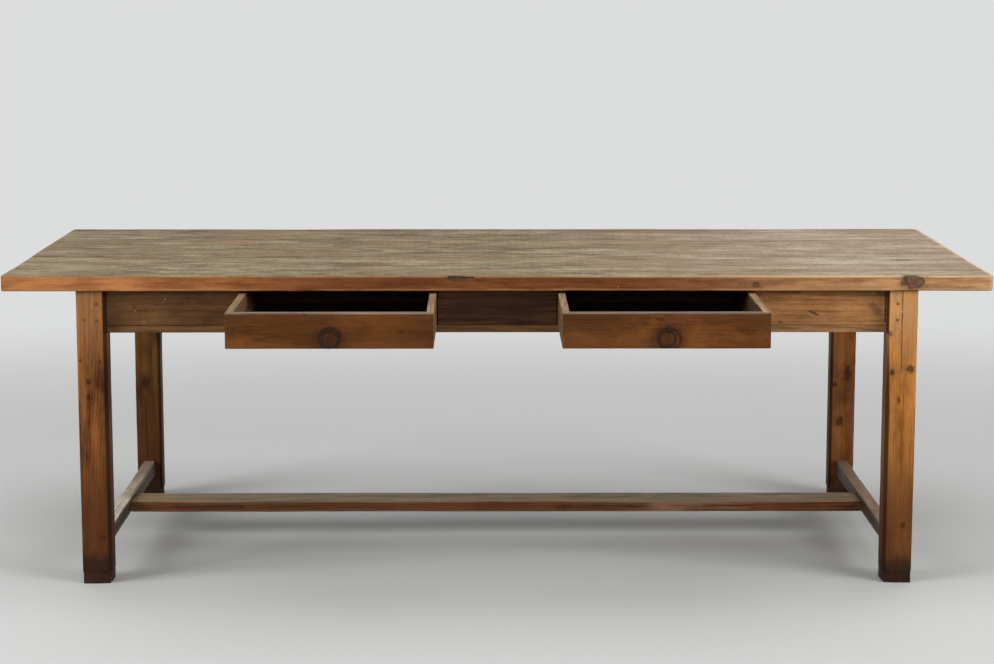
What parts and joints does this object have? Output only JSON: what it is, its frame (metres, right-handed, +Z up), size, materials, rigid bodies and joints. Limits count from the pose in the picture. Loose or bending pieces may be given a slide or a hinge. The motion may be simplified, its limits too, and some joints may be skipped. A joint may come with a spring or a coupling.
{
  "type": "farmhouse table",
  "caption": "Long rustic wooden table with square pegged legs, low stretchers and sliding drawers with hanging iron ring pulls in its front apron.",
  "frame": {"origin": "on the floor, at the middle of the four feet's footprint", "axes": "+X along the table's length to the right, +Y from the drawers to the back, +Z up"},
  "size_m": [2.41, 1.3895, 0.77],
  "materials": {
    "top_wood": "weathered, open grain, waxed thin",
    "leg_wood": "old wax over reddish brown pine",
    "foot_wood": "dark with damp and dirt",
    "peg_wood": "dark end grain",
    "stretcher_wood": "worn by feet",
    "drawer_front_wood": "old wax, blotchy",
    "drawer_box_wood": "raw, aged",
    "apron_wood": "old wax, scratched",
    "hidden_wood": "raw, sawn",
    "iron": "forged, dark, rubbed bright in places"
  },
  "bodies": {
    "frame": {"apron_pegs": "peg_wood", "back_apron": "apron_wood", "back_left_foot": "foot_wood", "back_left_leg": "leg_wood", "back_plank": "top_wood", "back_right_foot": "foot_wood", "back_right_leg": "leg_wood", "batten_screws": "iron", "button_screws": "iron", "centre_batten": "hidden_wood", "drawer_stops": "hidden_wood", "foot_dowels": "peg_wood", "fourth_plank": "top_wood", "front_apron_centre": "apron_wood", "front_apron_left": "apron_wood", "front_apron_right": "apron_wood", "front_left_foot": "foot_wood", "front_left_leg": "leg_wood", "front_plank": "top_wood", "front_rail": "apron_wood", "front_right_foot": "foot_wood", "front_right_leg": "leg_wood", "left_batten": "hidden_wood", "left_drawer_left_guide": "hidden_wood", "left_drawer_left_runner": "hidden_wood", "left_drawer_right_guide": "hidden_wood", "left_drawer_right_runner": "hidden_wood", "left_end_apron": "apron_wood", "left_end_stretcher": "stretcher_wood", "long_stretcher": "stretcher_wood", "middle_plank": "top_wood", "right_batten": "hidden_wood", "right_drawer_left_guide": "hidden_wood", "right_drawer_left_runner": "hidden_wood", "right_drawer_right_guide": "hidden_wood", "right_drawer_right_runner": "hidden_wood", "right_end_apron": "apron_wood", "right_end_stretcher": "stretcher_wood", "second_plank": "top_wood", "stretcher_pegs": "peg_wood", "top_buttons": "hidden_wood"},
    "left_drawer": {"left_drawer_back": "drawer_box_wood", "left_drawer_bottom": "drawer_box_wood", "left_drawer_eye": "iron", "left_drawer_front": "drawer_front_wood", "left_drawer_left_side": "drawer_box_wood", "left_drawer_nails": "iron", "left_drawer_right_side": "drawer_box_wood"},
    "right_drawer": {"right_drawer_back": "drawer_box_wood", "right_drawer_bottom": "drawer_box_wood", "right_drawer_eye": "iron", "right_drawer_front": "drawer_front_wood", "right_drawer_left_side": "drawer_box_wood", "right_drawer_nails": "iron", "right_drawer_right_side": "drawer_box_wood"},
    "left_ring": {"left_drawer_ring": "iron"},
    "right_ring": {"right_drawer_ring": "iron"}
  },
  "joints": [
    {"name": "left_drawer_slide", "type": "slide", "parent": "frame", "child": "left_drawer", "axis": [0, -1, 0], "range_m": [-0.365, 0.11]},
    {"name": "right_drawer_slide", "type": "slide", "parent": "frame", "child": "right_drawer", "axis": [0, -1, 0], "range_m": [-0.365, 0.11]},
    {"name": "left_ring_swing", "type": "hinge", "parent": "left_drawer", "child": "left_ring", "pos_m": [-0.388, -0.856, 0.68565], "axis": [-1, 0, 0], "range_deg": [-8, 172]},
    {"name": "right_ring_swing", "type": "hinge", "parent": "right_drawer", "child": "right_ring", "pos_m": [0.393, -0.856, 0.68565], "axis": [-0.9613, 0, 0.2756], "range_deg": [-8, 172]}
  ]
}
